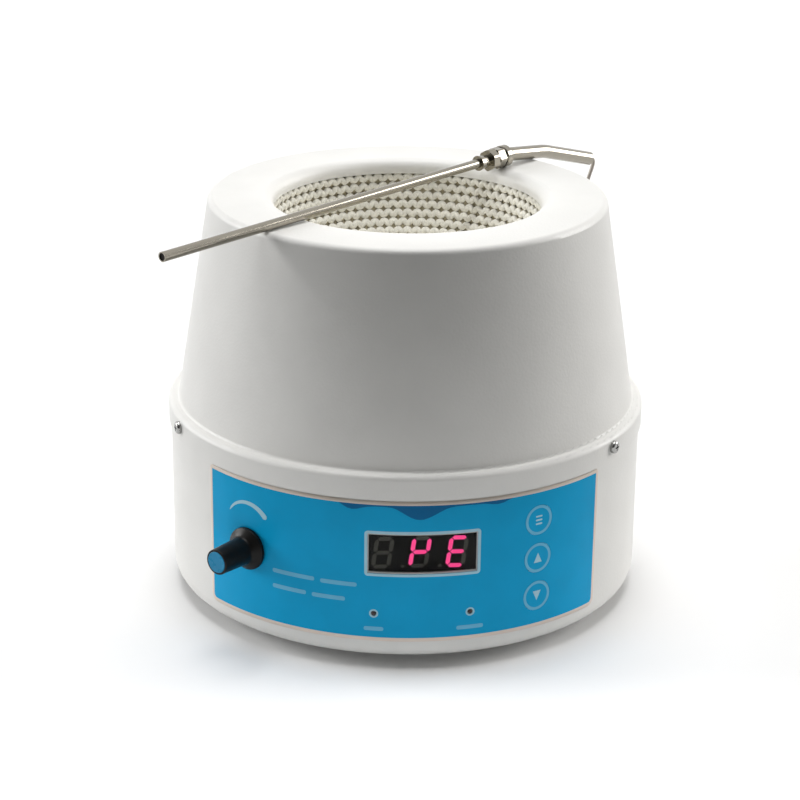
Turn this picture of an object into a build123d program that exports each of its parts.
"""Laboratory heating mantle with magnetic stirring: a spun steel housing round a knitted heating nest.

Millimetres. The origin is on the housing's axis, in the plane that its feet stand on, with +Z up
and the control panel facing -Y. A bearing is an angle about +Z that is 0 at the front and grows
towards +X.
"""
from build123d import *
from math import acos, asin, atan2, cos, degrees, hypot, pi, radians, sin, sqrt, tan
import os

os.makedirs("parts", exist_ok=True)

# ---------------------------------------------------------------- driving dimensions
# Housing
sheet = 1.2                  # steel of both housing shells
shell_r = 149.5              # outer radius of the lower shell
foot_height = 6.0            # lower shell's floor above the table
base_edge_r = 11.0           # rolled edge between floor and wall
skirt_gap = 0.2              # lower shell to the skirt that drops over it
skirt_low = 110.2            # height of the skirt's lower edge
ledge_z = 125.0              # height of the step between skirt and cone
shoulder_r = 3.2             # rounding of the step's outer edge
cove_r = 1.6                 # hollow rounding where the cone rises from the step
step_width = 6.4             # from the skirt's face in to the cone
cone_taper = 9.1             # lean of the cone from upright, degrees
top_z = 253.8                # height of the flat top ring
rim_r = 3.9                  # rounding of the top ring's outer edge
lip_round = 7.0              # rounding where the top ring turns down into the mouth
lip_depth = 9.0              # how far the lip reaches down
shell_overlap = 12.2         # how far the lower shell rises inside the skirt
rear_flat_w = 70.0           # pressed flat at the back, for the connectors
rear_flat_low = 20.0
rear_flat_high = 104.0
vent_count = 18
vent_w = 3.0
vent_l = 16.0
vent_pitch_r = 60.0

# Fasteners: M4 with pan heads
screw_r = 1.95
screw_hole_r = 2.2
thread_bore_r = 2.0
head_r = 4.0
head_h = 2.8
head_round = 1.6
nut_af = 7.0
nut_h = 3.2
shell_screw_z = 118.6
shell_screw_bearings = (-67.3, 57.1, 177.5)
screw_length = 8.0

# Feet
foot_count = 4
foot_inset = 37.5            # from the wall in to the middle of a foot
foot_top_r = 13.0
foot_sole_r = 11.0
foot_pocket_depth = 3.6

# Nest and what carries it
nest_r = 83.4                # radius of the nest at its crests
nest_wall = 3.0
ridge_depth = 1.1
ridge_count = 9
gap_rows = 3
gap_count = 40               # gaps in a row
gap_side = 3.4
nest_flange_w = 8.0
nest_flange_t = 2.5
lip_seat_gap = 0.3
coil_side = 2.4
coil_turns = 5
insulation_gap = 3.4         # room for the heating winding behind the nest
bowl_clearance = 10.67       # from the bowl's edge out to the cone's head
bowl_t = 1.2
bowl_flat = 6.7              # depth of the round bottom that is pressed flat
fit_gap = 0.1
pillar_r = 4.0
pillar_pitch_r = 95.0
pillar_bearings = (90.0, 210.0, 330.0)
cradle_t = 2.0
cradle_hub_r = 62.0
cradle_arm_w = 16.0
motor_plate_drop = 33.0      # below the bowl's floor
motor_plate_t = 2.0
plate_window_r = 22.0         # openings between the motor plate's arms
plate_window_inset = 32.0

# Stirrer
motor_r = 30.0
motor_h = 45.0
motor_boss_r = 7.5
motor_boss_h = 3.0
motor_screw_pitch_r = 22.0
shaft_r = 3.0
running_gap = 0.05
shaft_reach = 29.0           # below the motor's plate
holder_drop = 20.0           # below the bowl's floor
holder_t = 8.0
holder_l = 64.0
holder_w = 20.0
hub_r = 7.5
hub_h = 6.0
magnet_r = 8.0
magnet_h = 10.0
magnet_pocket = 5.0
magnet_pitch_r = 22.0

# Control panel film
film_t = 0.5                 # to the film's outer face
film_gap = 0.15              # glue line behind the film
film_from = -51.7            # bearings of its two upright edges
film_to = 51.4
film_low = 19.0
film_high = 108.9
film_low_corner_r = 5.0
film_high_corner_r = 2.5

# Display
display_bearing = 4.42
display_z = 75.6
window_w = 65.4
window_h = 25.6
window_seat = 0.8            # width of the shell's edge that the clear window rests on
display_inset = 5.3          # from the wall in to the digits' face
display_body_h = 27.0
display_depth = 8.0
digit_h = 20.3
digit_w = 11.6
digit_pitch = 22.0
digit_offset = -1.4          # middle digit from the middle of the window
digit_drop = -0.8
digit_slant = 8.0
segment_t = 2.5
segment_gap = 0.35
segment_raise = 0.25
board_t = 1.6
display_board_gap = 2.67     # from the board's ends to the wall
display_board_h = 68.0
display_board_z = 61.0

# Membrane keys
key_bearing = 32.4
key_heights = (88.8, 64.3, 39.5)
key_r = 9.6
key_gap = 0.15
key_travel = 0.4
key_post_r = 2.5
key_board_inset = 10.5
key_board_w = 18.0
key_board_h = 78.0
switch_body = 6.0
switch_body_h = 3.5
switch_stem_r = 1.7
switch_stem_h = 1.4
key_stop_gap = 0.1

# Status lamps, square to the display board
lamp_x = 28.75               # either side of the display's middle
lamp_z = 36.8
lamp_r = 1.5
lamp_hole_gap = 0.2
lamp_flange_r = 1.9
lamp_inset = 10.0
lamp_proud = 0.7             # dome above the film
lamp_lead = 0.5
lamp_lead_pitch = 2.54

# Speed control
knob_bearing = -38.4
knob_z = 64.5
knob_skirt_r = 13.25
knob_skirt_t = 2.2
knob_stem_r = 8.6
knob_stem_foot = 6.0
knob_tip_r = 7.9
knob_length = 27.8
knob_lift = 0.6              # clear space between knob and panel film
knob_recess_r = 9.0
knob_recess_h = 2.6
knob_cap_r = 6.6
knob_cap_t = 1.4
pot_inset = 1.8
pot_r = 12.0
pot_depth = 10.0
bush_r = 3.5
bush_length = 5.2
pot_nut_af = 10.0
pot_nut_t = 1.8

# Rear connectors
inlet_z = 45.0
inlet_flange_w = 50.0
inlet_flange_h = 23.0
inlet_flange_t = 2.6
inlet_body_w = 27.0
inlet_body_h = 19.8
inlet_body_depth = 24.0
inlet_socket_w = 24.4
inlet_socket_h = 16.6
inlet_socket_depth = 16.5
inlet_screw_pitch = 40.0
cutout_gap = 0.3
switch_x = -16.0
switch_z = 82.0
bezel_w = 22.0
bezel_h = 31.0
bezel_t = 2.0
rocker_w = 16.4
rocker_gap = 0.3
rocker_hollow_r = 30.0
rocker_tilt = 12.0
rocker_opening_h = 25.4
switch_body_depth = 20.0
switch_cavity_depth = 13.0
pivot_depth = 6.0
pivot_r = 1.5
socket_x = 20.0
socket_z = 82.0
socket_flange_r = 9.0
socket_flange_t = 2.0
socket_thread_r = 6.0
socket_thread_l = 10.0
socket_barrel_r = 5.4
socket_barrel_l = 8.0
socket_nut_af = 16.0
socket_nut_t = 2.4

# Circuit boards on the floor
floor_board_x = 28.0
floor_board_w = 92.0
floor_board_d = 70.0
floor_pillar_h = 8.0
floor_pillar_r = 3.0
floor_pillar_inset = 5.0
transformer_x = -58.0
transformer_y = 12.0
core_w = 48.0
core_d = 24.0
core_h = 40.0
core_foot_w = 20.0
core_foot_d = 12.0
sink_w = 60.0
sink_t = 4.0
sink_h = 34.0
sink_fins = 7
fin_t = 1.6
fin_l = 14.0

# Temperature probe, lying across the mouth
probe_heading = 47.44        # its direction in plan, degrees from +X
probe_offset = 1.0           # how far its line passes from the housing's axis
rod_r = 3.0
rod_bore_r = 2.3
rod_tip = -202.0             # stations along the probe, from the point nearest to the axis
ferrule_at = 67.2
nut_at = 76.4
body_at = 82.6
tail_at = 94.6
ferrule_r = 4.9
ferrule_l = 5.2
probe_nut_af = 12.6
probe_nut_l = 6.0
body_hex_af = 12.6
body_hex_l = 5.8
body_neck_r = 5.2
collar_r = 7.1
collar_l = 5.2
tail_r = 4.5
tail_bore_r = 3.6
tail_droops = (6.4, 15.6)    # how far each leg of the tail leans down, degrees
tail_legs = (37.0, 50.6)
tail_bend_r = 30.0
gland_l = 9.0
gland_proud = 0.8
tip_recess = 0.8
tip_seal_l = 6.0

# Sensor cable
cable_r = 1.25
coil_layers = 2
coil_ring_turns = 4          # turns beside each other in a layer
coil_turn_r = 13.75          # to the middle of the coil's turns
coil_x = 85.0
coil_y = 160.6
plug_ring_r = 8.0
plug_length = 32.0
plug_tail_r = 2.4

# ---------------------------------------------------------------- derived places
mouth_r = nest_r + sheet     # radius of the mouth's upright lip
foot_pitch_r = shell_r - foot_inset
display_face = shell_r - display_inset
key_board_face = shell_r - key_board_inset
lamp_back = shell_r - lamp_inset
pot_face = shell_r - pot_inset
skirt_r = shell_r + skirt_gap + sheet
cone_foot_r = skirt_r - step_width
cone_head_r = cone_foot_r - (top_z - ledge_z) * tan(radians(cone_taper))
floor_top = foot_height + sheet
wall_inner_r = shell_r - sheet
wall_top = skirt_low + shell_overlap
lip_low = top_z - lip_depth
mouth_z = lip_low - lip_seat_gap
nest_outer_r = nest_r + ridge_depth + nest_wall - 1.0
insulation_r = nest_outer_r + insulation_gap
insulation_t = cone_head_r - bowl_clearance - bowl_t - fit_gap - insulation_r
bowl_inner_r = insulation_r + insulation_t + fit_gap
bowl_r = bowl_inner_r + bowl_t
bowl_floor_z = mouth_z - bowl_r + bowl_flat
motor_plate_z = bowl_floor_z - motor_plate_drop
shaft_low_z = motor_plate_z - shaft_reach
holder_low_z = bowl_floor_z - holder_drop
rear_y = sqrt(shell_r ** 2 - (rear_flat_w / 2) ** 2)
cradle_z = bowl_floor_z - cradle_t
board_face = display_face - display_depth
display_board_w = 2 * (sqrt(wall_inner_r ** 2 - board_face ** 2) - display_board_gap)
rest_height = rod_r          # probe axis above the top ring where the rod touches it
collar_station = (body_at + tail_at) / 2 + (collar_l + body_hex_l) / 4
front_station = -(cone_head_r - rim_r)


def polar(radius, bearing, height=0.0):
    """Point at a radius and bearing about the housing's axis."""
    turn = radians(bearing)
    return Vector(radius * sin(turn), -radius * cos(turn), height)


def wall_plane(bearing, height, distance):
    """Plane square to the round wall: local x to the right, y up, z outwards."""
    turn = radians(bearing)
    return Plane(
        origin=polar(distance, bearing, height),
        x_dir=(cos(turn), sin(turn), 0),
        z_dir=(sin(turn), -cos(turn), 0),
    )


def radial_plane(bearing):
    """Upright plane through the housing's axis: local x outwards, y up."""
    turn = radians(bearing)
    return Plane(origin=(0, 0, 0), x_dir=(sin(turn), -cos(turn), 0), z_dir=(-cos(turn), -sin(turn), 0))


def rear_plane(x, height, distance=rear_y):
    """Plane on the pressed flat at the back: local y up, z outwards."""
    return Plane(origin=(x, distance, height), x_dir=(-1, 0, 0), z_dir=(0, 1, 0))


def on_bowl(radius, angle):
    """Point on a bowl profile round the nest's centre; angle 0 is straight down."""
    return (radius * sin(radians(angle)), mouth_z - radius * cos(radians(angle)))


# ---------------------------------------------------------------- housing
with BuildPart() as upper_shell:
    with BuildSketch(Plane.XZ):
        with BuildLine():
            skin = FilletPolyline(
                (skirt_r, skirt_low),
                (skirt_r, ledge_z),
                (cone_foot_r, ledge_z),
                (cone_head_r, top_z),
                (mouth_r - sheet, top_z),
                (mouth_r - sheet, lip_low),
                radius=[shoulder_r, cove_r, rim_r, lip_round],
            )
            offset(skin, amount=sheet, side=Side.LEFT)
        make_face()
    revolve(axis=Axis.Z)
    with Locations(*[wall_plane(b, shell_screw_z, skirt_r + sheet) for b in shell_screw_bearings]):
        Hole(screw_hole_r, depth=3 * sheet)
upper_shell.part.label = "upper_shell"
export_step(upper_shell.part, "parts/upper_shell.step")

with BuildPart() as shell_cavity:
    with BuildSketch(Plane.XZ):
        with BuildLine():
            wall_line = FilletPolyline(
                (0, floor_top),
                (wall_inner_r, floor_top),
                (wall_inner_r, wall_top + sheet),
                radius=base_edge_r - sheet,
            )
            Polyline(wall_line @ 1, (0, wall_top + sheet), (0, floor_top))
        make_face()
    revolve(axis=Axis.Z)
    with Locations((0, rear_y - sheet + shell_r / 2, (rear_flat_low + rear_flat_high) / 2)):
        Box(
            rear_flat_w + 2 * sheet,
            shell_r,
            rear_flat_high - rear_flat_low + 2 * sheet,
            mode=Mode.SUBTRACT,
        )

with BuildPart() as lower_shell:
    with BuildSketch(Plane.XZ):
        with BuildLine():
            wall_line = FilletPolyline(
                (0, foot_height),
                (shell_r, foot_height),
                (shell_r, wall_top),
                radius=base_edge_r,
            )
            Polyline(wall_line @ 1, (0, wall_top), (0, foot_height))
        make_face()
    revolve(axis=Axis.Z)
    with Locations((0, rear_y + shell_r / 2, (rear_flat_low + rear_flat_high) / 2)):
        Box(rear_flat_w, shell_r, rear_flat_high - rear_flat_low, mode=Mode.SUBTRACT)
    add(shell_cavity.part, mode=Mode.SUBTRACT)
    # Joint screws, and the feet's screws
    with Locations(*[wall_plane(b, shell_screw_z, shell_r + sheet) for b in shell_screw_bearings]):
        Hole(screw_hole_r, depth=3 * sheet)
    with Locations(Plane.XY.offset(floor_top)):
        with PolarLocations(foot_pitch_r, foot_count, start_angle=45):
            Hole(thread_bore_r, depth=2 * sheet)
        with Locations(*[polar(pillar_pitch_r, b) for b in pillar_bearings]):
            Hole(screw_hole_r, depth=2 * sheet)
    # Cooling slots in the floor
    with BuildSketch(Plane.XY.offset(foot_height)):
        with PolarLocations(vent_pitch_r, vent_count, start_angle=180 / vent_count):
            SlotOverall(vent_l, vent_w)
    extrude(amount=sheet, mode=Mode.SUBTRACT)
    # Front: display, keys, lamps and speed control
    with BuildSketch(wall_plane(display_bearing, display_z, display_face)):
        Rectangle(window_w - 2 * window_seat, window_h - 2 * window_seat)
    extrude(amount=shell_r - display_face + sheet, mode=Mode.SUBTRACT)
    with Locations(*[wall_plane(key_bearing, z, shell_r + sheet) for z in key_heights]):
        Hole(key_r + key_gap, depth=4 * sheet)
    with BuildSketch(wall_plane(display_bearing, lamp_z, lamp_back)):
        with GridLocations(2 * lamp_x, 0, 2, 1):
            Circle(lamp_r + lamp_hole_gap)
    extrude(amount=shell_r - lamp_back, mode=Mode.SUBTRACT)
    with Locations(wall_plane(knob_bearing, knob_z, shell_r + sheet)):
        Hole(bush_r + lamp_hole_gap, depth=3 * sheet)
    # Back: inlet with its two screws, rocker switch and sensor socket
    with BuildSketch(rear_plane(0, inlet_z)):
        Rectangle(inlet_body_w + 2 * cutout_gap, inlet_body_h + 2 * cutout_gap)
    extrude(amount=-2 * sheet, mode=Mode.SUBTRACT)
    with Locations(rear_plane(0, inlet_z, rear_y + sheet)):
        with GridLocations(inlet_screw_pitch, 0, 2, 1):
            Hole(thread_bore_r, depth=3 * sheet)
    with BuildSketch(rear_plane(switch_x, switch_z)):
        Rectangle(bezel_w - 1.6 + 2 * cutout_gap, bezel_h - 3.0 + 2 * cutout_gap)
    extrude(amount=-2 * sheet, mode=Mode.SUBTRACT)
    with Locations(rear_plane(socket_x, socket_z, rear_y + sheet)):
        Hole(socket_thread_r + lamp_hole_gap, depth=3 * sheet)
lower_shell.part.label = "lower_shell"
export_step(lower_shell.part, "parts/lower_shell.step")

# Pan-head screws that hold the two shells together, with weld nuts behind them
screw_planes = [wall_plane(b, shell_screw_z, skirt_r) for b in shell_screw_bearings]
with BuildPart() as one_screw:
    with BuildSketch(Plane.XY):
        Circle(head_r)
    extrude(amount=head_h)
    fillet(one_screw.edges().group_by(Axis.Z)[-1], head_round)
    with BuildSketch(Plane.XY):
        Circle(screw_r)
    extrude(amount=-screw_length)
    with BuildSketch(Plane.XY.offset(head_h)):
        Rectangle(head_r, 0.9)
        Rectangle(0.9, head_r)
    extrude(amount=-head_h * 0.55, mode=Mode.SUBTRACT)

with BuildPart() as shell_screws:
    with Locations(*screw_planes):
        add(one_screw.part)
shell_screws.part.label = "shell_screws"
export_step(shell_screws.part, "parts/shell_screws.step")

with BuildPart() as weld_nuts:
    for bearing in shell_screw_bearings:
        with BuildSketch(wall_plane(bearing, shell_screw_z, wall_inner_r - fit_gap)):
            RegularPolygon(nut_af / 2, 6, major_radius=False)
            Circle(thread_bore_r, mode=Mode.SUBTRACT)
        extrude(amount=-nut_h)
weld_nuts.part.label = "weld_nuts"
export_step(weld_nuts.part, "parts/weld_nuts.step")

# Rubber feet with sunk screws
with BuildPart() as one_foot:
    with BuildSketch(Plane.XZ):
        Polygon(
            (0, 0),
            (foot_sole_r - 1, 0),
            (foot_sole_r, 1),
            (foot_top_r, foot_height),
            (0, foot_height),
            align=None,
        )
    revolve(axis=Axis.Z)
    with BuildSketch(Plane.XY):
        Circle(head_r + 1)
    extrude(amount=foot_pocket_depth, mode=Mode.SUBTRACT)
    with BuildSketch(Plane.XY):
        Circle(screw_hole_r)
    extrude(amount=foot_height, mode=Mode.SUBTRACT)

with BuildPart() as rubber_feet:
    with PolarLocations(foot_pitch_r, foot_count, start_angle=45):
        add(one_foot.part)
rubber_feet.part.label = "rubber_feet"
export_step(rubber_feet.part, "parts/rubber_feet.step")

with BuildPart() as foot_screws:
    with Locations(Plane((0, 0, foot_pocket_depth), z_dir=(0, 0, -1))):
        with PolarLocations(foot_pitch_r, foot_count, start_angle=45):
            add(one_screw.part)
foot_screws.part.label = "foot_screws"
export_step(foot_screws.part, "parts/foot_screws.step")

# ---------------------------------------------------------------- nest, winding, insulation
ridge_from = 88.0
ridge_to = 10.0
ridge_angles = [
    ridge_from - i * (ridge_from - ridge_to) / (2 * ridge_count) for i in range(2 * ridge_count + 1)
]
ridge_points = [
    on_bowl(nest_r + (ridge_depth if i % 2 else 0), angle) for i, angle in enumerate(ridge_angles)
]
with BuildPart() as heating_nest:
    with BuildSketch(Plane.XZ):
        with BuildLine():
            Polyline(
                (nest_outer_r + nest_flange_w, mouth_z),
                (nest_r, mouth_z),
                *ridge_points,
                (0, mouth_z - nest_r - ridge_depth),
                (0, mouth_z - nest_outer_r),
            )
            flange_angle = degrees(acos(nest_flange_t / nest_outer_r))
            CenterArc((0, mouth_z), nest_outer_r, -90, flange_angle)
            Polyline(
                on_bowl(nest_outer_r, flange_angle),
                (nest_outer_r + nest_flange_w, mouth_z - nest_flange_t),
                (nest_outer_r + nest_flange_w, mouth_z),
            )
        make_face()
    revolve(axis=Axis.Z)
    gap_planes = []
    for row in range(gap_rows):
        angle = radians(ridge_angles[2 * row + 1])
        for i in range(gap_count):
            turn = 2 * pi * (i + row / 2) / gap_count
            out = Vector(sin(angle) * cos(turn), sin(angle) * sin(turn), -cos(angle))
            along = Vector(-sin(turn), cos(turn), 0)
            gap_planes.append(Plane(Vector(0, 0, mouth_z) + out * nest_r, x_dir=along, z_dir=out))
    with Locations(*gap_planes):
        Box(gap_side, gap_side, 4 * nest_wall, rotation=(0, 0, 45), mode=Mode.SUBTRACT)
heating_nest.part.label = "heating_nest"
export_step(heating_nest.part, "parts/heating_nest.step")

winding_r = (nest_outer_r + insulation_r) / 2
with BuildPart() as heating_winding:
    with BuildSketch(Plane.XZ):
        for i in range(coil_turns):
            angle = 20 + i * 15
            with Locations(Location((*on_bowl(winding_r, angle), 0), (0, 0, angle))):
                Rectangle(coil_side, coil_side)
    revolve(axis=Axis.Z)
heating_winding.part.label = "heating_winding"
export_step(heating_winding.part, "parts/heating_winding.step")

insulation_outer_r = bowl_inner_r - fit_gap
insulation_floor = bowl_floor_z + bowl_t + fit_gap
insulation_top = mouth_z - nest_flange_t - fit_gap
with BuildPart() as insulation_bowl:
    with Locations((0, 0, mouth_z)):
        Sphere(insulation_outer_r)
        Sphere(insulation_r, mode=Mode.SUBTRACT)
    split(bisect_by=Plane.XY.offset(insulation_top), keep=Keep.BOTTOM)
    split(bisect_by=Plane.XY.offset(insulation_floor), keep=Keep.TOP)
insulation_bowl.part.label = "insulation_bowl"
export_step(insulation_bowl.part, "parts/insulation_bowl.step")

floor_angle = degrees(acos((mouth_z - bowl_floor_z) / bowl_r))
inner_floor_angle = degrees(acos((mouth_z - bowl_floor_z - bowl_t) / bowl_inner_r))
with BuildPart() as nest_bowl:
    with BuildSketch(Plane.XZ):
        with BuildLine():
            CenterArc((0, mouth_z), bowl_r, floor_angle - 90, 90 - floor_angle)
            CenterArc((0, mouth_z), bowl_inner_r, inner_floor_angle - 90, 90 - inner_floor_angle)
            Line((bowl_r, mouth_z), (bowl_inner_r, mouth_z))
            Polyline(
                on_bowl(bowl_r, floor_angle),
                (0, bowl_floor_z),
                (0, bowl_floor_z + bowl_t),
                on_bowl(bowl_inner_r, inner_floor_angle),
            )
        make_face()
    revolve(axis=Axis.Z)
    split(bisect_by=Plane.XY.offset(insulation_top), keep=Keep.BOTTOM)
nest_bowl.part.label = "nest_bowl"
export_step(nest_bowl.part, "parts/nest_bowl.step")

# ---------------------------------------------------------------- pillars and plates
pillar_points = [polar(pillar_pitch_r, b) for b in pillar_bearings]
spigot_r = thread_bore_r
pillar_thread = 10.0

with BuildPart() as lower_pillars:
    with BuildSketch(Plane.XY.offset(floor_top)):
        with Locations(*pillar_points):
            Circle(pillar_r)
    extrude(amount=motor_plate_z - floor_top)
    with BuildSketch(Plane.XY.offset(floor_top)):
        with Locations(*pillar_points):
            Circle(thread_bore_r)
    extrude(amount=pillar_thread, mode=Mode.SUBTRACT)
    with BuildSketch(Plane.XY.offset(motor_plate_z)):
        with Locations(*pillar_points):
            Circle(spigot_r)
    extrude(amount=motor_plate_t)
lower_pillars.part.label = "lower_pillars"
export_step(lower_pillars.part, "parts/lower_pillars.step")

with BuildPart() as motor_plate:
    with BuildSketch(Plane.XY.offset(motor_plate_z)):
        Circle(pillar_pitch_r + pillar_r + 3)
        Circle(motor_boss_r + fit_gap, mode=Mode.SUBTRACT)
        with Locations(*pillar_points):
            Circle(spigot_r + fit_gap, mode=Mode.SUBTRACT)
        with PolarLocations(motor_screw_pitch_r, 4):
            Circle(screw_hole_r, mode=Mode.SUBTRACT)
        with PolarLocations(pillar_pitch_r - plate_window_inset, 3, start_angle=60):
            Circle(plate_window_r, mode=Mode.SUBTRACT)
    extrude(amount=motor_plate_t)
motor_plate.part.label = "motor_plate"
export_step(motor_plate.part, "parts/motor_plate.step")

with BuildPart() as upper_pillars:
    with BuildSketch(Plane.XY.offset(motor_plate_z + motor_plate_t)):
        with Locations(*pillar_points):
            Circle(pillar_r)
    extrude(amount=cradle_z - motor_plate_z - motor_plate_t)
    with BuildSketch(Plane.XY.offset(cradle_z)):
        with Locations(*pillar_points):
            Circle(thread_bore_r)
    extrude(amount=-pillar_thread, mode=Mode.SUBTRACT)
upper_pillars.part.label = "upper_pillars"
export_step(upper_pillars.part, "parts/upper_pillars.step")

with BuildPart() as cradle_plate:
    with BuildSketch(Plane.XY.offset(cradle_z)):
        Circle(cradle_hub_r)
        for bearing in pillar_bearings:
            with Locations(Location(polar(pillar_pitch_r / 2, bearing), (0, 0, bearing - 90))):
                Rectangle(pillar_pitch_r, cradle_arm_w)
            with Locations(polar(pillar_pitch_r, bearing)):
                Circle(cradle_arm_w / 2)
        with Locations(*pillar_points):
            Circle(screw_hole_r, mode=Mode.SUBTRACT)
    extrude(amount=cradle_t)
cradle_plate.part.label = "cradle_plate"
export_step(cradle_plate.part, "parts/cradle_plate.step")

with BuildPart() as pillar_screws:
    with Locations(*[Location(p + Vector(0, 0, bowl_floor_z)) for p in pillar_points]):
        add(one_screw.part)
    with Locations(*[Plane(p + Vector(0, 0, foot_height), z_dir=(0, 0, -1)) for p in pillar_points]):
        add(one_screw.part)
pillar_screws.part.label = "pillar_screws"
export_step(pillar_screws.part, "parts/pillar_screws.step")

# ---------------------------------------------------------------- stirrer
with BuildPart() as stir_motor:
    with BuildSketch(Plane.XY.offset(motor_plate_z - motor_h)):
        Circle(motor_r)
    extrude(amount=motor_h)
    chamfer(stir_motor.edges().group_by(Axis.Z)[0], 2.0)
    with BuildSketch(Plane.XY.offset(motor_plate_z)):
        Circle(motor_boss_r)
    extrude(amount=motor_boss_h)
    with BuildSketch(Plane.XY.offset(shaft_low_z - 1)):
        Circle(shaft_r + running_gap)
    extrude(amount=motor_plate_z + motor_boss_h - shaft_low_z + 1, mode=Mode.SUBTRACT)
    with BuildSketch(Plane.XY.offset(motor_plate_z)):
        with PolarLocations(motor_screw_pitch_r, 4):
            Circle(thread_bore_r)
    extrude(amount=-screw_length, mode=Mode.SUBTRACT)
stir_motor.part.label = "stir_motor"
export_step(stir_motor.part, "parts/stir_motor.step")

with BuildPart() as motor_screws:
    with Locations(Plane.XY.offset(motor_plate_z + motor_plate_t)):
        with PolarLocations(motor_screw_pitch_r, 4):
            add(one_screw.part)
motor_screws.part.label = "motor_screws"
export_step(motor_screws.part, "parts/motor_screws.step")

holder_top = holder_low_z + holder_t
with BuildPart() as motor_shaft:
    with BuildSketch(Plane.XY.offset(shaft_low_z)):
        Circle(shaft_r)
    extrude(amount=holder_top - shaft_low_z)
motor_shaft.part.label = "motor_shaft"
export_step(motor_shaft.part, "parts/motor_shaft.step")

with BuildPart() as magnet_holder:
    with BuildSketch(Plane.XY.offset(holder_low_z)):
        SlotOverall(holder_l, holder_w)
    extrude(amount=holder_t)
    with BuildSketch(Plane.XY.offset(holder_low_z - hub_h)):
        Circle(hub_r)
    extrude(amount=hub_h)
    with BuildSketch(Plane.XY.offset(holder_low_z - hub_h)):
        Circle(shaft_r + running_gap)
    extrude(amount=hub_h + holder_t, mode=Mode.SUBTRACT)
    with BuildSketch(Plane.XY.offset(holder_top)):
        with PolarLocations(magnet_pitch_r, 2):
            Circle(magnet_r + running_gap)
    extrude(amount=-magnet_pocket, mode=Mode.SUBTRACT)
magnet_holder.part.label = "magnet_holder"
export_step(magnet_holder.part, "parts/magnet_holder.step")

with BuildPart() as drive_magnets:
    with BuildSketch(Plane.XY.offset(holder_top - magnet_pocket)):
        with PolarLocations(magnet_pitch_r, 2):
            Circle(magnet_r)
    extrude(amount=magnet_h)
drive_magnets.part.label = "drive_magnets"
export_step(drive_magnets.part, "parts/drive_magnets.step")

# ---------------------------------------------------------------- control panel film
with BuildPart() as control_film:
    with BuildSketch(radial_plane(film_from)):
        with Locations((shell_r + (film_gap + film_t) / 2, (film_low + film_high) / 2)):
            Rectangle(film_t - film_gap, film_high - film_low)
    revolve(axis=Axis.Z, revolution_arc=film_to - film_from)
    corners = control_film.edges().filter_by(lambda edge: abs(edge.length - film_t + film_gap) < 1e-3)
    fillet(corners.sort_by(Axis.Z)[:2], film_low_corner_r)
    corners = control_film.edges().filter_by(lambda edge: abs(edge.length - film_t + film_gap) < 1e-3)
    fillet(corners.sort_by(Axis.Z)[-2:], film_high_corner_r)
    with BuildSketch(wall_plane(display_bearing, display_z, display_face)):
        Rectangle(window_w, window_h)
    extrude(amount=shell_r - display_face + 2 * film_t, mode=Mode.SUBTRACT)
    with Locations(*[wall_plane(key_bearing, z, shell_r + 2 * film_t) for z in key_heights]):
        Hole(key_r + key_gap, depth=4 * film_t)
    with BuildSketch(wall_plane(display_bearing, lamp_z, lamp_back)):
        with GridLocations(2 * lamp_x, 0, 2, 1):
            Circle(lamp_r + lamp_hole_gap)
    extrude(amount=shell_r - lamp_back + film_t, mode=Mode.SUBTRACT)
    with Locations(wall_plane(knob_bearing, knob_z, shell_r + 2 * film_t)):
        Hole(pot_nut_af / 2 + 1.4, depth=4 * film_t)
control_film.part.label = "control_film"
export_step(control_film.part, "parts/control_film.step")

window_half = degrees(asin((window_w / 2 - lamp_hole_gap) / shell_r))
with BuildPart() as display_window:
    with BuildSketch(radial_plane(display_bearing - window_half)):
        with Locations((shell_r + (film_gap + film_t) / 2, display_z)):
            Rectangle(film_t - film_gap, window_h - 2 * lamp_hole_gap)
    revolve(axis=Axis.Z, revolution_arc=2 * window_half)
display_window.part.label = "display_window"
export_step(display_window.part, "parts/display_window.step")

# ---------------------------------------------------------------- display
with BuildPart() as display_module:
    with BuildSketch(wall_plane(display_bearing, display_z, display_face)):
        Rectangle(window_w, display_body_h)
    extrude(amount=-display_depth)
    chamfer(display_module.faces().sort_by(Axis.Y)[0].edges(), 0.6)
display_module.part.label = "display_module"
export_step(display_module.part, "parts/display_module.step")


def segment(kind):
    """Outline of one bar of a digit, round the digit's middle, before it is slanted."""
    half_w = (digit_w - segment_t) / 2
    half_h = (digit_h - segment_t) / 2
    reach_x = half_w - segment_gap
    reach_y = half_h / 2 - segment_gap
    level = {
        "top": ((0, half_h), True),
        "middle": ((0, 0), True),
        "bottom": ((0, -half_h), True),
        "upper_left": ((-half_w, half_h / 2), False),
        "upper_right": ((half_w, half_h / 2), False),
        "lower_left": ((-half_w, -half_h / 2), False),
        "lower_right": ((half_w, -half_h / 2), False),
    }
    (x, y), flat = level[kind]
    t = segment_t / 2
    reach = reach_x if flat else reach_y
    bar = [(-reach, 0), (-reach + t, t), (reach - t, t), (reach, 0), (reach - t, -t), (-reach + t, -t)]
    if not flat:
        bar = [(-v, u) for u, v in bar]
    lean = tan(radians(digit_slant))
    return [(x + u + (y + v) * lean, y + v) for u, v in bar]


bars = ("top", "middle", "bottom", "upper_left", "upper_right", "lower_left", "lower_right")
lit_bars = (
    (),
    ("upper_left", "upper_right", "middle", "lower_left"),
    ("top", "upper_left", "middle", "lower_left", "bottom"),
)
digit_plane = wall_plane(display_bearing, display_z, display_face)


def digit_bars(lit):
    """Sketch every lit, or every dark, bar of the three digits."""
    for place, chosen in enumerate(lit_bars):
        x = digit_offset + (place - 1) * digit_pitch
        for kind in bars:
            if (kind in chosen) == lit:
                with Locations((x, digit_drop)):
                    Polygon(*segment(kind), align=None)


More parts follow.
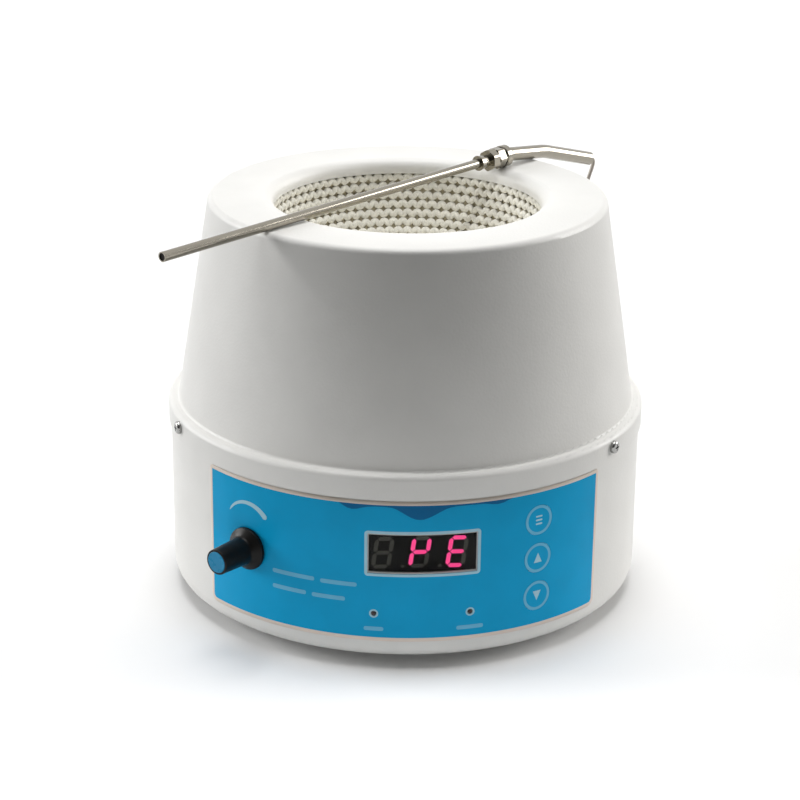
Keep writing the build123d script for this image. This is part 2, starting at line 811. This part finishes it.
with BuildPart() as segments_lit:
    with BuildSketch(digit_plane):
        digit_bars(True)
    extrude(amount=segment_raise)
segments_lit.part.label = "segments_lit"
export_step(segments_lit.part, "parts/segments_lit.step")

with BuildPart() as segments_dark:
    with BuildSketch(digit_plane):
        digit_bars(False)
        for place in range(3):
            with Locations((digit_offset + (place - 0.46) * digit_pitch, digit_drop - digit_h / 2 + 1.1)):
                Circle(1.1)
    extrude(amount=segment_raise)
segments_dark.part.label = "segments_dark"
export_step(segments_dark.part, "parts/segments_dark.step")

with BuildPart() as display_board:
    with BuildSketch(wall_plane(display_bearing, display_board_z, board_face)):
        Rectangle(display_board_w, display_board_h)
    extrude(amount=-board_t)
display_board.part.label = "display_board"
export_step(display_board.part, "parts/display_board.step")

# ---------------------------------------------------------------- membrane keys
stem_top = key_board_face + switch_body_h + switch_stem_h


with BuildPart() as one_key:
    with BuildSketch(wall_plane(key_bearing, 0, stem_top)):
        Circle(key_r)
    extrude(amount=shell_r + 2 * film_t - stem_top)
    Cylinder(shell_r + film_t, 3 * key_r, mode=Mode.INTERSECT)
    Cylinder(shell_r, 3 * key_r, mode=Mode.SUBTRACT)
    with BuildSketch(wall_plane(key_bearing, 0, stem_top + key_travel + key_stop_gap)):
        Circle(key_post_r)
    extrude(amount=shell_r + film_t / 2 - stem_top - key_travel - key_stop_gap)

with BuildPart() as key_set:
    with Locations((0, 0, key_heights[0])):
        add(one_key.part)
key_set.part.label = "key_set"
export_step(key_set.part, "parts/key_set.step")

with BuildPart() as key_up:
    with Locations((0, 0, key_heights[1])):
        add(one_key.part)
key_up.part.label = "key_up"
export_step(key_up.part, "parts/key_up.step")

with BuildPart() as key_down:
    with Locations((0, 0, key_heights[2])):
        add(one_key.part)
key_down.part.label = "key_down"
export_step(key_down.part, "parts/key_down.step")

key_board_z = (key_heights[0] + key_heights[2]) / 2
with BuildPart() as key_board:
    with BuildSketch(wall_plane(key_bearing, key_board_z, key_board_face)):
        Rectangle(key_board_w, key_board_h)
    extrude(amount=-board_t)
key_board.part.label = "key_board"
export_step(key_board.part, "parts/key_board.step")

with BuildPart() as key_switches:
    for height in key_heights:
        with BuildSketch(wall_plane(key_bearing, height, key_board_face)):
            RectangleRounded(switch_body, switch_body, 0.6)
        extrude(amount=switch_body_h)
        with BuildSketch(wall_plane(key_bearing, height, key_board_face + switch_body_h)):
            Circle(switch_stem_r)
        extrude(amount=switch_stem_h)
key_switches.part.label = "key_switches"
export_step(key_switches.part, "parts/key_switches.step")

# ---------------------------------------------------------------- status lamps
lamp_top = sqrt((shell_r + film_t) ** 2 - lamp_x ** 2) + lamp_proud
with BuildPart() as one_lamp:
    with BuildSketch(Plane.XY.offset(board_face + fit_gap)):
        with GridLocations(0, lamp_lead_pitch, 1, 2):
            Rectangle(lamp_lead, lamp_lead)
    extrude(amount=lamp_back - board_face - fit_gap)
    with BuildSketch(Plane.XY.offset(lamp_back)):
        Circle(lamp_flange_r)
    extrude(amount=1.0)
    with BuildSketch(Plane.XY.offset(lamp_back)):
        Circle(lamp_r)
    extrude(amount=lamp_top - lamp_r - lamp_back)
    with Locations((0, 0, lamp_top - lamp_r)):
        Sphere(lamp_r)

with BuildPart() as lamp_set:
    with Locations(wall_plane(display_bearing, lamp_z, 0)):
        with Locations((-lamp_x, 0, 0)):
            add(one_lamp.part)
lamp_set.part.label = "lamp_set"
export_step(lamp_set.part, "parts/lamp_set.step")

with BuildPart() as lamp_heat:
    with Locations(wall_plane(display_bearing, lamp_z, 0)):
        with Locations((lamp_x, 0, 0)):
            add(one_lamp.part)
lamp_heat.part.label = "lamp_heat"
export_step(lamp_heat.part, "parts/lamp_heat.step")

# ---------------------------------------------------------------- speed control
film_face = shell_r + film_t
knob_foot = film_face + knob_lift
with BuildPart() as speed_knob:
    with BuildSketch(Plane.XZ):
        with BuildLine():
            FilletPolyline(
                (knob_recess_r, 0),
                (knob_skirt_r, 0),
                (knob_skirt_r, knob_skirt_t),
                (knob_stem_r, knob_stem_foot),
                (knob_tip_r, knob_length),
                (knob_cap_r + fit_gap, knob_length),
                radius=[0.4, 0.9, 3.0, 0.6],
            )
            Polyline(
                (knob_cap_r + fit_gap, knob_length),
                (knob_cap_r + fit_gap, knob_length - knob_cap_t),
                (0, knob_length - knob_cap_t),
                (0, knob_length - 2 * knob_cap_t),
                (shaft_r + running_gap, knob_length - 2 * knob_cap_t),
                (shaft_r + running_gap, knob_recess_h),
                (knob_recess_r, knob_recess_h),
                (knob_recess_r, 0),
            )
        make_face()
    revolve(axis=Axis.Z)
speed_knob.part = wall_plane(knob_bearing, knob_z, knob_foot).location * speed_knob.part
speed_knob.part.label = "speed_knob"
export_step(speed_knob.part, "parts/speed_knob.step")

with BuildPart() as knob_cap:
    with BuildSketch(wall_plane(knob_bearing, knob_z, knob_foot + knob_length - knob_cap_t)):
        Circle(knob_cap_r)
    extrude(amount=knob_cap_t + 0.2)
    fillet(knob_cap.faces().sort_by(SortBy.DISTANCE)[-1].edges(), 0.3)
knob_cap.part.label = "knob_cap"
export_step(knob_cap.part, "parts/knob_cap.step")

shaft_foot = pot_face - pot_depth + 2
with BuildPart() as pot_shaft:
    with BuildSketch(wall_plane(knob_bearing, knob_z, shaft_foot)):
        Circle(shaft_r)
    extrude(amount=knob_foot + knob_length - 2 * knob_cap_t - shaft_foot - fit_gap)
pot_shaft.part.label = "pot_shaft"
export_step(pot_shaft.part, "parts/pot_shaft.step")

with BuildPart() as potentiometer:
    with BuildSketch(wall_plane(knob_bearing, knob_z, pot_face - pot_depth)):
        Circle(pot_r)
    extrude(amount=pot_depth)
    with BuildSketch(wall_plane(knob_bearing, knob_z, pot_face)):
        Circle(bush_r)
    extrude(amount=bush_length)
    with BuildSketch(wall_plane(knob_bearing, knob_z, shaft_foot - fit_gap)):
        Circle(shaft_r + running_gap)
    extrude(amount=pot_depth + bush_length, mode=Mode.SUBTRACT)
    with BuildSketch(wall_plane(knob_bearing, knob_z, pot_face - pot_depth / 2)):
        with Locations((0, -pot_r)):
            Rectangle(3 * lamp_lead_pitch + 4, 8)
    extrude(amount=board_t)
    with BuildSketch(wall_plane(knob_bearing, knob_z, shaft_foot - fit_gap)):
        Circle(shaft_r + running_gap)
    extrude(amount=pot_depth, mode=Mode.SUBTRACT)
potentiometer.part.label = "potentiometer"
export_step(potentiometer.part, "parts/potentiometer.step")

with BuildPart() as pot_nut:
    with BuildSketch(wall_plane(knob_bearing, knob_z, shell_r + fit_gap)):
        RegularPolygon(pot_nut_af / 2, 6, major_radius=False)
        Circle(bush_r + running_gap, mode=Mode.SUBTRACT)
    extrude(amount=pot_nut_t)
pot_nut.part.label = "pot_nut"
export_step(pot_nut.part, "parts/pot_nut.step")

# ---------------------------------------------------------------- rear connectors
with BuildPart() as power_inlet:
    with BuildSketch(rear_plane(0, inlet_z)):
        RectangleRounded(inlet_flange_w, inlet_flange_h, 4)
    extrude(amount=inlet_flange_t)
    with BuildSketch(rear_plane(0, inlet_z)):
        Rectangle(inlet_body_w, inlet_body_h)
    extrude(amount=-inlet_body_depth)
    with BuildSketch(rear_plane(0, inlet_z, rear_y + inlet_flange_t)):
        with BuildLine():
            half_w = inlet_socket_w / 2
            half_h = inlet_socket_h / 2
            Polyline(
                (-half_w, -half_h),
                (half_w, -half_h),
                (half_w, half_h - 4),
                (half_w - 4, half_h),
                (-half_w + 4, half_h),
                (-half_w, half_h - 4),
                close=True,
            )
        make_face()
    extrude(amount=-inlet_socket_depth - inlet_flange_t, mode=Mode.SUBTRACT)
    with Locations(rear_plane(0, inlet_z, rear_y + inlet_flange_t)):
        with GridLocations(inlet_screw_pitch, 0, 2, 1):
            Hole(screw_hole_r, depth=2 * inlet_flange_t)
    with BuildSketch(rear_plane(0, inlet_z, rear_y - inlet_socket_depth)):
        with Locations((-7, 0), (7, 0), (0, 4)):
            Rectangle(2.0, 4.0)
    extrude(amount=-inlet_body_depth + inlet_socket_depth, mode=Mode.SUBTRACT)
power_inlet.part.label = "power_inlet"
export_step(power_inlet.part, "parts/power_inlet.step")

with BuildPart() as inlet_pins:
    with BuildSketch(rear_plane(0, inlet_z, rear_y - 2)):
        with Locations((-7, 0), (7, 0), (0, 4)):
            Rectangle(1.9, 3.9)
    extrude(amount=-inlet_body_depth - 4)
inlet_pins.part.label = "inlet_pins"
export_step(inlet_pins.part, "parts/inlet_pins.step")

with BuildPart() as inlet_screws:
    with Locations(rear_plane(0, inlet_z, rear_y + inlet_flange_t)):
        with GridLocations(inlet_screw_pitch, 0, 2, 1):
            add(one_screw.part)
inlet_screws.part.label = "inlet_screws"
export_step(inlet_screws.part, "parts/inlet_screws.step")

switch_body_w = bezel_w - 1.6
switch_body_tall = bezel_h - 3.0
rocker_opening_w = rocker_w + 2 * rocker_gap
with BuildPart() as switch_housing:
    with BuildSketch(rear_plane(switch_x, switch_z)):
        RectangleRounded(bezel_w, bezel_h, 2)
    extrude(amount=bezel_t)
    with BuildSketch(rear_plane(switch_x, switch_z)):
        Rectangle(switch_body_w, switch_body_tall)
    extrude(amount=-switch_body_depth)
    with BuildSketch(rear_plane(switch_x, switch_z, rear_y + bezel_t)):
        Rectangle(rocker_opening_w, rocker_opening_h)
    extrude(amount=-switch_cavity_depth - bezel_t, mode=Mode.SUBTRACT)
    with BuildSketch(Plane.YZ.offset(switch_x - rocker_w / 2 - 1.6)):
        with Locations((rear_y - pivot_depth + bezel_t, switch_z)):
            Circle(pivot_r + running_gap)
    extrude(amount=rocker_w + 3.2, mode=Mode.SUBTRACT)
switch_housing.part.label = "switch_housing"
export_step(switch_housing.part, "parts/switch_housing.step")

pivot_y = rear_y - pivot_depth + bezel_t
with BuildPart() as switch_rocker:
    with BuildSketch(Plane.YZ.offset(switch_x - rocker_w / 2)):
        with BuildLine():
            FilletPolyline(
                (pivot_y + 3.0, switch_z - 10.2),
                (pivot_y + 7.6, switch_z - 11.0),
                (pivot_y + 5.6, switch_z),
                (pivot_y + 7.6, switch_z + 11.0),
                (pivot_y + 3.0, switch_z + 10.2),
                radius=[0.6, rocker_hollow_r, 0.6],
            )
            Polyline(
                (pivot_y + 3.0, switch_z + 10.2),
                (pivot_y - 3.0, switch_z + 3.0),
                (pivot_y - 3.0, switch_z - 3.0),
                (pivot_y + 3.0, switch_z - 10.2),
            )
        make_face()
    extrude(amount=rocker_w)
    with BuildSketch(Plane.YZ.offset(switch_x - rocker_w / 2 - 1.4)):
        with Locations((pivot_y, switch_z)):
            Circle(pivot_r)
    extrude(amount=rocker_w + 2.8)
rocker_axis = Axis((switch_x, pivot_y, switch_z), (1, 0, 0))
switch_rocker.part = switch_rocker.part.rotate(rocker_axis, rocker_tilt)
switch_rocker.part.label = "switch_rocker"
export_step(switch_rocker.part, "parts/switch_rocker.step")

with BuildPart() as sensor_socket:
    with BuildSketch(rear_plane(socket_x, socket_z)):
        Circle(socket_flange_r)
    extrude(amount=socket_flange_t)
    with BuildSketch(rear_plane(socket_x, socket_z)):
        Circle(socket_thread_r)
    extrude(amount=-socket_thread_l)
    with BuildSketch(rear_plane(socket_x, socket_z, rear_y + socket_flange_t)):
        Circle(socket_barrel_r)
    extrude(amount=socket_barrel_l)
sensor_socket.part.label = "sensor_socket"
export_step(sensor_socket.part, "parts/sensor_socket.step")

with BuildPart() as sensor_socket_nut:
    with BuildSketch(rear_plane(socket_x, socket_z, rear_y - sheet)):
        RegularPolygon(socket_nut_af / 2, 6, major_radius=False)
        Circle(socket_thread_r + running_gap, mode=Mode.SUBTRACT)
    extrude(amount=-socket_nut_t)
sensor_socket_nut.part.label = "sensor_socket_nut"
export_step(sensor_socket_nut.part, "parts/sensor_socket_nut.step")

# ---------------------------------------------------------------- power electronics on the floor
board_low = floor_top + floor_pillar_h
board_top = board_low + board_t
# Studs of all three boards; those of the upright boards are cut to the curve of the wall
key_stud_y = key_board_h / 2 - 4
with BuildPart() as board_studs:
    with BuildSketch(wall_plane(display_bearing, display_board_z, board_face)):
        with GridLocations(display_board_w - 10, display_board_h - 10, 2, 2):
            Circle(floor_pillar_r)
    extrude(amount=shell_r - board_face)
    with BuildSketch(wall_plane(key_bearing, key_board_z, key_board_face)):
        with GridLocations(0, 2 * key_stud_y, 1, 2):
            Circle(floor_pillar_r)
    extrude(amount=shell_r - key_board_face)
    with Locations((0, 0, wall_top / 2)):
        Cylinder(wall_inner_r - fit_gap, wall_top, mode=Mode.INTERSECT)
    with BuildSketch(Plane.XY.offset(floor_top)):
        with Locations((floor_board_x, 0)):
            with GridLocations(
                floor_board_w - 2 * floor_pillar_inset, floor_board_d - 2 * floor_pillar_inset, 2, 2
            ):
                Circle(floor_pillar_r)
    extrude(amount=floor_pillar_h)
board_studs.part.label = "board_studs"
export_step(board_studs.part, "parts/board_studs.step")

with BuildPart() as main_board:
    with BuildSketch(Plane.XY.offset(board_low)):
        with Locations((floor_board_x, 0)):
            Rectangle(floor_board_w, floor_board_d)
    extrude(amount=board_t)
main_board.part.label = "main_board"
export_step(main_board.part, "parts/main_board.step")

sink_y = -floor_board_d / 2 + fin_l + sink_t / 2 + 2
with BuildPart() as heat_sink:
    with BuildSketch(Plane.XY.offset(board_top)):
        with Locations((floor_board_x, sink_y)):
            Rectangle(sink_w, sink_t)
        with Locations((floor_board_x, sink_y - sink_t / 2 - fin_l / 2)):
            with GridLocations((sink_w - fin_t) / (sink_fins - 1), 0, sink_fins, 1):
                Rectangle(fin_t, fin_l)
    extrude(amount=sink_h)
heat_sink.part.label = "heat_sink"
export_step(heat_sink.part, "parts/heat_sink.step")

with BuildPart() as transformer:
    with BuildSketch(Plane.XY.offset(floor_top)):
        with Locations((transformer_x, transformer_y)):
            Rectangle(core_w, core_d)
    extrude(amount=core_h)
    with BuildSketch(Plane.XY.offset(floor_top + 8)):
        with Locations((transformer_x, transformer_y)):
            RectangleRounded(core_w - 18, core_d + 18, 6)
    extrude(amount=core_h - 16)
    with BuildSketch(Plane.XY.offset(floor_top)):
        with Locations((transformer_x, transformer_y)):
            SlotOverall(core_w + core_foot_w, core_foot_d)
            with GridLocations(core_w + 10, 0, 2, 1):
                Circle(screw_hole_r, mode=Mode.SUBTRACT)
    extrude(amount=1.5)
transformer.part.label = "transformer"
export_step(transformer.part, "parts/transformer.step")

# ---------------------------------------------------------------- temperature probe
heading = Vector(cos(radians(probe_heading)), sin(radians(probe_heading)), 0)
sideways = Vector(-sin(radians(probe_heading)), cos(radians(probe_heading)), 0)
probe_rise = (collar_r - rest_height) / (collar_station - front_station)
probe_dir = (heading + Vector(0, 0, probe_rise)).normalized()
probe_origin = sideways * probe_offset + Vector(
    0, 0, top_z + fit_gap + rest_height - front_station * probe_rise
)


def probe_plane(station):
    """Plane square to the probe at a station along it, with its local y upwards."""
    return Plane(probe_origin + probe_dir * station, x_dir=sideways * -1, z_dir=probe_dir)


with BuildPart() as probe_rod:
    with BuildSketch(probe_plane(rod_tip)):
        Circle(rod_r)
        Circle(rod_bore_r, mode=Mode.SUBTRACT)
    extrude(amount=body_at - rod_tip)
probe_rod.part.label = "probe_rod"
export_step(probe_rod.part, "parts/probe_rod.step")

with BuildPart() as probe_tip_seal:
    with BuildSketch(probe_plane(rod_tip + tip_recess)):
        Circle(rod_bore_r - running_gap)
    extrude(amount=tip_seal_l)
probe_tip_seal.part.label = "probe_tip_seal"
export_step(probe_tip_seal.part, "parts/probe_tip_seal.step")

with BuildPart() as probe_ferrule:
    with BuildSketch(probe_plane(ferrule_at)):
        Circle(ferrule_r)
    extrude(amount=ferrule_l, taper=8)
    with BuildSketch(probe_plane(ferrule_at + ferrule_l)):
        Circle(ferrule_r - 1)
    extrude(amount=nut_at - ferrule_at - ferrule_l - fit_gap)
    with BuildSketch(probe_plane(ferrule_at)):
        Circle(rod_r + running_gap)
    extrude(amount=nut_at - ferrule_at, mode=Mode.SUBTRACT)
probe_ferrule.part.label = "probe_ferrule"
export_step(probe_ferrule.part, "parts/probe_ferrule.step")

with BuildPart() as probe_nut:
    with BuildSketch(probe_plane(nut_at)):
        RegularPolygon(probe_nut_af / 2, 6, major_radius=False, rotation=30)
    extrude(amount=probe_nut_l)
    with BuildSketch(probe_plane(nut_at)):
        Circle(probe_nut_af / 2 * 1.1)
    extrude(amount=probe_nut_l, mode=Mode.INTERSECT)
    with BuildSketch(probe_plane(nut_at)):
        Circle(rod_r + running_gap)
    extrude(amount=probe_nut_l, mode=Mode.SUBTRACT)
probe_nut.part.label = "probe_nut"
export_step(probe_nut.part, "parts/probe_nut.step")

collar_from = tail_at - collar_l
with BuildPart() as probe_fitting:
    with BuildSketch(probe_plane(body_at)):
        RegularPolygon(body_hex_af / 2, 6, major_radius=False)
    extrude(amount=body_hex_l)
    with BuildSketch(probe_plane(body_at)):
        Circle(body_hex_af / 2 * 1.1)
    extrude(amount=body_hex_l, mode=Mode.INTERSECT)
    with BuildSketch(probe_plane(body_at + body_hex_l)):
        Circle(body_neck_r)
    extrude(amount=collar_from - body_at - body_hex_l)
    with BuildSketch(probe_plane(collar_from)):
        Circle(collar_r)
    extrude(amount=collar_l)
    chamfer(probe_fitting.edges().filter_by(GeomType.CIRCLE).filter_by(
        lambda edge: abs(edge.radius - collar_r) < 1e-3), 0.6)
    with BuildSketch(probe_plane(body_at)):
        Circle(rod_bore_r)
    extrude(amount=tail_at - body_at, mode=Mode.SUBTRACT)
probe_fitting.part.label = "probe_fitting"
export_step(probe_fitting.part, "parts/probe_fitting.step")

tail_start = probe_origin + probe_dir * tail_at
tail_dirs = [heading * cos(radians(a)) + Vector(0, 0, -sin(radians(a))) for a in tail_droops]
tail_knee = tail_start + probe_dir * 2 + tail_dirs[0] * tail_legs[0]
tail_end = tail_knee + tail_dirs[1] * tail_legs[1]
tail_end_plane = Plane(tail_end, x_dir=sideways * -1, z_dir=tail_dirs[1])
with BuildPart() as probe_tail:
    with BuildLine():
        FilletPolyline(
            tail_start,
            tail_start + probe_dir * 4,
            tail_knee,
            tail_end,
            radius=[tail_bend_r, 2 * tail_bend_r],
        )
    with BuildSketch(probe_plane(tail_at)):
        Circle(tail_r)
        Circle(tail_bore_r, mode=Mode.SUBTRACT)
    sweep()
probe_tail.part.label = "probe_tail"
export_step(probe_tail.part, "parts/probe_tail.step")

with BuildPart() as probe_gland:
    with BuildSketch(tail_end_plane.offset(gland_proud - gland_l)):
        Circle(tail_bore_r - running_gap)
    extrude(amount=gland_l)
probe_gland.part.label = "probe_gland"
export_step(probe_gland.part, "parts/probe_gland.step")

# ---------------------------------------------------------------- sensor plug and cable
plug_mouth = rear_y + socket_flange_t + 0.5
with BuildPart() as sensor_plug:
    with BuildSketch(Plane.XZ):
        with BuildLine():
            FilletPolyline(
                (socket_barrel_r + lamp_hole_gap, 0),
                (plug_ring_r, 0),
                (plug_ring_r, 13.0),
                (plug_ring_r - 1.4, 14.0),
                (plug_ring_r - 2.0, 21.0),
                (plug_tail_r + 0.9, 24.0),
                (plug_tail_r, plug_length),
                (0, plug_length),
                radius=[0.5, 0.5, 0.4, 0.8, 0.8, 0.3],
            )
            Polyline(
                (0, plug_length),
                (0, socket_barrel_l),
                (socket_barrel_r + lamp_hole_gap, socket_barrel_l),
                (socket_barrel_r + lamp_hole_gap, 0),
            )
        make_face()
    revolve(axis=Axis.Z)
sensor_plug.part = rear_plane(socket_x, socket_z, plug_mouth).location * sensor_plug.part
sensor_plug.part.label = "sensor_plug"
export_step(sensor_plug.part, "parts/sensor_plug.step")

cable_exit = tail_end + tail_dirs[1] * gland_proud
plug_end = Vector(socket_x, plug_mouth + plug_length, socket_z)
# From the probe down to the coil
drop_route = [
    cable_exit,
    cable_exit + tail_dirs[1] * 1.6,
    Vector(125.5, 138.2, 242.1),
    Vector(126.0, 138.7, 239.4),
    Vector(124.9, 137.6, 235.6),
    Vector(122.5, 135.1, 229.0),
    Vector(119.4, 132.2, 216.6),
    Vector(117.4, 131.2, 194.4),
    Vector(117.2, 132.4, 158.5),
    Vector(119.0, 135.5, 121.0),
    Vector(121.6, 138.6, 85.0),
    Vector(123.2, 141.2, 55.0),
    Vector(124.3, 143.7, 32.9),
    Vector(123.9, 147.3, 17.4),
    Vector(121.7, 152.3, 7.2),
    Vector(117.4, 157.6, 2.2),
    Vector(112.0, 163.4, 1.3),
    Vector(105.8, 169.0, 1.4),
    Vector(98.0, 173.2, 1.3),
]
# From the plug down to the coil
plug_route = [
    plug_end,
    plug_end + Vector(0, 5.6, 0),
    Vector(20.3, 190.8, 79.4),
    Vector(21.0, 194.2, 73.6),
    Vector(22.6, 196.0, 64.0),
    Vector(25.6, 196.8, 49.0),
    Vector(29.6, 196.9, 33.0),
    Vector(34.6, 195.8, 19.8),
    Vector(41.0, 193.4, 10.0),
    Vector(48.8, 189.8, 4.0),
    Vector(57.6, 186.0, 1.5),
    Vector(66.8, 183.0, 1.4),
    Vector(75.6, 180.7, 2.2),
    Vector(84.0, 178.6, 3.7),
]


def bend_radii(points):
    """Largest arc that each corner's two runs allow: 0.45 of the shorter run over tan(half the turn)."""
    radii = []
    for a, b, c in zip(points, points[1:], points[2:]):
        turn = radians((b - a).get_angle(c - b))
        radii.append(0.45 * min((b - a).length, (c - b).length) / tan(turn / 2))
    return radii


drop_radii = bend_radii(drop_route)
plug_radii = bend_radii(plug_route)
print("cable bend radii, probe side:", [round(r, 1) for r in drop_radii])
print("cable bend radii, plug side:", [round(r, 1) for r in plug_radii])

with BuildPart() as sensor_cable:
    with BuildLine() as drop_line:
        FilletPolyline(*drop_route, radius=drop_radii)
    with BuildSketch(Plane(cable_exit, z_dir=tail_dirs[1])):
        Circle(cable_r)
    sweep()
sensor_cable.part.label = "sensor_cable"
export_step(sensor_cable.part, "parts/sensor_cable.step")

with BuildPart() as sensor_cable_lead:
    with BuildLine() as plug_line:
        FilletPolyline(*plug_route, radius=plug_radii)
    with BuildSketch(Plane(plug_end, z_dir=(0, 1, 0))):
        Circle(cable_r)
    sweep()
sensor_cable_lead.part.label = "sensor_cable_lead"
export_step(sensor_cable_lead.part, "parts/sensor_cable_lead.step")

with BuildPart() as sensor_cable_coil:
    with BuildSketch(Plane.XZ):
        with Locations((coil_turn_r, coil_layers * cable_r)):
            RectangleRounded(2 * coil_ring_turns * cable_r, 2 * coil_layers * cable_r, cable_r)
    revolve(axis=Axis.Z)
sensor_cable_coil.part = Location((coil_x, coil_y, 0)) * sensor_cable_coil.part
sensor_cable_coil.part.label = "sensor_cable_coil"
export_step(sensor_cable_coil.part, "parts/sensor_cable_coil.step")

for line, piece, name in (
    (drop_line, sensor_cable, "probe side"),
    (plug_line, sensor_cable_lead, "plug side"),
):
    length = sum(edge.length for edge in line.edges())
    print(name, "length", round(length, 1), "volume ratio", round(piece.part.volume / (pi * cable_r ** 2 * length), 4))
